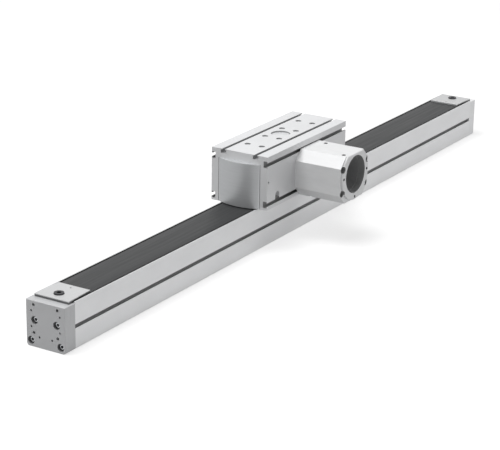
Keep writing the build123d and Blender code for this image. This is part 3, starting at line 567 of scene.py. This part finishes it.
def paint_shade_and_highlights():
    """Paints shade into the slots, bores, holes and joints where little light reaches, paints
    shade that dims some lit tops, and paints highlights on thin edges.
    """
    low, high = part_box("head_housing")
    head = FINISHES["anodised_housing"]
    # Painted shade inside the head's side and roof T slots and on the walls of its roof recesses
    head.shade(slot_in_side(head, high.y, low.z + HEAD_SLOT_LOW), SLOT_SHADE)
    head.shade(slot_in_side(head, high.y, high.z - HEAD_SLOT_HIGH), SLOT_SHADE)
    head.shade(slot_in_roof(head, high.z, high.y - ROOF_SLOT_INSET), ROOF_SLOT_SHADE)
    head.shade(roof_walls(head, high), ROOF_WALL_SHADE)
    # Painted shadow of the gap between the end covers and the head, in a thin strip of the head's
    # end faces
    head.shade(cover_gap_shadow(head, high), COVER_GAP_SHADE)
    beam = FINISHES["anodised_beam"]
    beam_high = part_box("beam_profile")[1]
    # Painted shade inside the beam's side slots and belt seat, and painted shade that dims the lit
    # tops of its lips
    beam.shade(slot_in_side(beam, beam_high.y, BEAM_SLOT_HEIGHT), BEAM_SLOT_SHADE)
    beam.shade(inside_seat(beam, beam_high.z - SLOT_RIM), SEAT_SHADE)
    beam.shade(beam.maths("GREATER_THAN", beam.place()[2], beam_high.z - LIP_SKIN), LIP_SHADE)
    belt = FINISHES["belt"]
    across = belt.maths("ABSOLUTE", belt.place()[1])
    belt_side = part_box("belt_run_front")[1].y - BELT_INSET - BELT_BORDER
    # Painted shade along the belt's edges, standing for the shadowed gap beside the beam's lips
    belt.shade(belt.maths("GREATER_THAN", across, belt_side), BELT_EDGE_SHADE)
    # Cap screws: painted shade in the sockets and on the head rims, and a painted highlight on the
    # ring between
    screws = FINISHES["cap_screws"]
    screws.shade(screw_ring(screws, 0.0, SOCKET_RADIUS), SCREW_RIM_SHADE)
    screws.shade(screw_ring(screws, SOCKET_RADIUS, SCREW_FACE_RADIUS), SCREW_FACE_HIGHLIGHT)
    screws.shade(screw_ring(screws, SCREW_FACE_RADIUS, CAP_SCREW_RADIUS), SCREW_RIM_SHADE)
    # Painted shade in the coupling housing's bore, screw pockets and small holes
    housing = FINISHES["coupling_housing"]
    low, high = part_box("coupling_housing")
    housing.shade(inside_bore(housing, low.y + SLOT_RIM, -BORE_FLOOR), BORE_SHADE)
    housing.shade(screw_pockets(housing, low), POCKET_SHADE)
    housing.shade(housing_holes(housing, low, high), HOLE_SHADE)
    # Painted highlight on the inner end faces of the clamp pads
    pad = FINISHES["clamp_pad"]
    pad.shade(pad_ends(pad), PAD_END_HIGHLIGHT)
    # Painted shade on the walls of the cap screws' counterbores
    for name in ("machined_aluminium", "light_cap"):
        cap = FINISHES[name]
        cap.shade(cap_counterbores(cap, ("end_cap_front", "end_cap_rear")), CAP_SCREW_SHADE)
    cover = FINISHES["bright_cover"]
    # Painted highlight on the end covers' top ledge and side borders
    cover.shade(cover_edges(cover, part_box("end_cover_front")[1]), COVER_EDGE_HIGHLIGHT)


def dress_nodes():
    """Gives each CAD node the finish of its material slot."""
    for part in frame["record"]["subparts"]:
        node = frame["nodes"][part["node"]]
        name = SPECIAL.get(part["node"], part["material_slot"])
        node.data.materials.clear()
        node.data.materials.append(FINISHES[name].material)


# Belt runs
def belt_strip(name, node):
    """A run of toothed belt, built over the box of a CAD belt run, which it hides."""
    low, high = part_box(node)
    teeth = round((high.x - low.x) / BELT_PITCH)
    step = (high.x - low.x) / teeth
    deselect()
    cells = (teeth * 2, BELT_CELLS_ACROSS)
    bpy.ops.mesh.primitive_grid_add(x_subdivisions=cells[0], y_subdivisions=cells[1], size=1)
    strip = bpy.context.object
    strip.scale = (high.x - low.x, high.y - low.y - 2 * BELT_INSET, 1)
    strip.location = ((low.x + high.x) / 2, 0, high.z - BELT_WEB)
    settle(strip, name)
    bpy.ops.object.mode_set(mode="EDIT")
    bpy.ops.mesh.select_all(action="SELECT")
    bpy.ops.mesh.flip_normals()
    bpy.ops.mesh.extrude_region_move(TRANSFORM_OT_translate={"value": (0, 0, BELT_WEB)})
    bpy.ops.mesh.select_all(action="SELECT")
    bpy.ops.mesh.normals_make_consistent(inside=False)
    web_bottom = high.z - BELT_WEB

    def tooth_face(face):
        at_bottom = abs(face.center.z - web_bottom) < TOUCH and face.normal.z < 0
        return at_bottom and int((face.center.x - low.x) / (step / 2)) % 2 == 0

    pick_faces(strip, tooth_face)
    bpy.ops.mesh.extrude_region_move(TRANSFORM_OT_translate={"value": (0, 0, -BELT_TOOTH)})
    bpy.ops.object.mode_set(mode="OBJECT")
    edge = strip.modifiers.new("edge", "BEVEL")
    edge.width = BELT_EDGE
    edge.segments = 2
    edge.limit_method = "ANGLE"
    edge.angle_limit = radians(BEVEL_ANGLE)
    bpy.ops.object.modifier_apply(modifier="edge")
    bpy.ops.object.shade_smooth_by_angle(angle=radians(SMOOTH_ANGLE))
    strip.data.materials.append(FINISHES["belt"].material)
    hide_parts(node)
    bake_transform(strip)


# Camera, light and floor
def set_camera():
    """The camera of the photograph."""
    yaw, pitch, roll = (radians(a) for a in (CAMERA_YAW, CAMERA_PITCH, CAMERA_ROLL))
    forward = Vector((cos(yaw) * cos(pitch), sin(yaw) * cos(pitch), -sin(pitch)))
    right = Vector((sin(yaw), -cos(yaw), 0))
    up = right.cross(forward)
    across = cos(roll) * right + sin(roll) * up
    upward = cos(roll) * up - sin(roll) * right
    turn = Matrix((across, upward, -forward)).transposed().to_4x4()
    data = bpy.data.cameras.new("camera")
    data.lens = CAMERA_LENS
    data.sensor_width = SENSOR_WIDTH
    data.clip_end = VIEW_DEPTH
    camera = bpy.data.objects.new("camera", data)
    camera.matrix_world = Matrix.Translation(CAMERA_PLACE) @ turn
    bpy.context.scene.collection.objects.link(camera)
    bpy.context.scene.camera = camera


def area_light(name, direction, distance, size, level):
    """A square soft light; its level is how bright a white card facing it looks."""
    data = bpy.data.lights.new(name, "AREA")
    data.size = size
    data.energy = level * pi**2 * distance**2
    light = bpy.data.objects.new(name, data)
    place = Vector(direction).normalized() * distance
    light.location = place
    light.rotation_euler = (-place).to_track_quat("-Z", "Y").to_euler()
    bpy.context.scene.collection.objects.link(light)


def seen_directly(nodes, links):
    """One on the rays that see the white studio: from the camera, a mirror or glass."""
    path = nodes.new("ShaderNodeLightPath")
    found = path.outputs["Is Camera Ray"]
    for kind in ("Is Glossy Ray", "Is Transmission Ray"):
        either = nodes.new("ShaderNodeMath")
        either.operation = "MAXIMUM"
        links.new(found, either.inputs[0])
        links.new(path.outputs[kind], either.inputs[1])
        found = either.outputs["Value"]
    return found


def set_floor():
    """A pale floor that looks white and keeps the object's shadow."""
    deselect()
    bpy.ops.mesh.primitive_plane_add(size=FLOOR_SIZE, location=(0, 0, -FLOOR_DROP))
    floor = settle(bpy.context.object, "floor")
    material = bpy.data.materials.new("floor")
    material.use_nodes = True
    nodes, links = material.node_tree.nodes, material.node_tree.links
    shader = nodes["Principled BSDF"]
    shader.inputs["Base Color"].default_value = (FLOOR_COLOUR, FLOOR_COLOUR, FLOOR_COLOUR, 1)
    shader.inputs["Roughness"].default_value = 0.9
    glow = nodes.new("ShaderNodeEmission")
    level = nodes.new("ShaderNodeMath")
    level.operation = "MULTIPLY"
    level.inputs[1].default_value = FLOOR_GLOW
    links.new(seen_directly(nodes, links), level.inputs[0])
    links.new(level.outputs["Value"], glow.inputs["Strength"])
    both = nodes.new("ShaderNodeAddShader")
    links.new(shader.outputs[0], both.inputs[0])
    links.new(glow.outputs[0], both.inputs[1])
    links.new(both.outputs[0], nodes["Material Output"].inputs["Surface"])
    floor.data.materials.append(material)


def set_world():
    """A white backdrop, and a dimmer even light for the object."""
    world = bpy.data.worlds.new("studio")
    bpy.context.scene.world = world
    world.use_nodes = True
    nodes, links = world.node_tree.nodes, world.node_tree.links
    background = nodes["Background"]
    background.inputs["Color"].default_value = (1, 1, 1, 1)
    level = nodes.new("ShaderNodeMapRange")
    level.inputs["To Min"].default_value = WORLD_LEVEL
    level.inputs["To Max"].default_value = 1.0
    links.new(seen_directly(nodes, links), level.inputs["Value"])
    links.new(level.outputs["Result"], background.inputs["Strength"])


def set_lights():
    """A large light overhead, towards the front end, and a weak one on the coupling's side."""
    area_light("overhead", (-0.23, 0.20, 0.95), distance=3.8, size=2.2, level=0.92)
    area_light("coupling_side", (0.35, -0.90, 0.30), distance=3.0, size=1.8, level=0.18)


paint_shade_and_highlights()
dress_nodes()
belt_strip("belt_front", "belt_run_front")
belt_strip("belt_rear", "belt_run_rear")
set_camera()
set_floor()
set_world()
set_lights()
bpy.context.scene.view_settings.view_transform = "Standard"
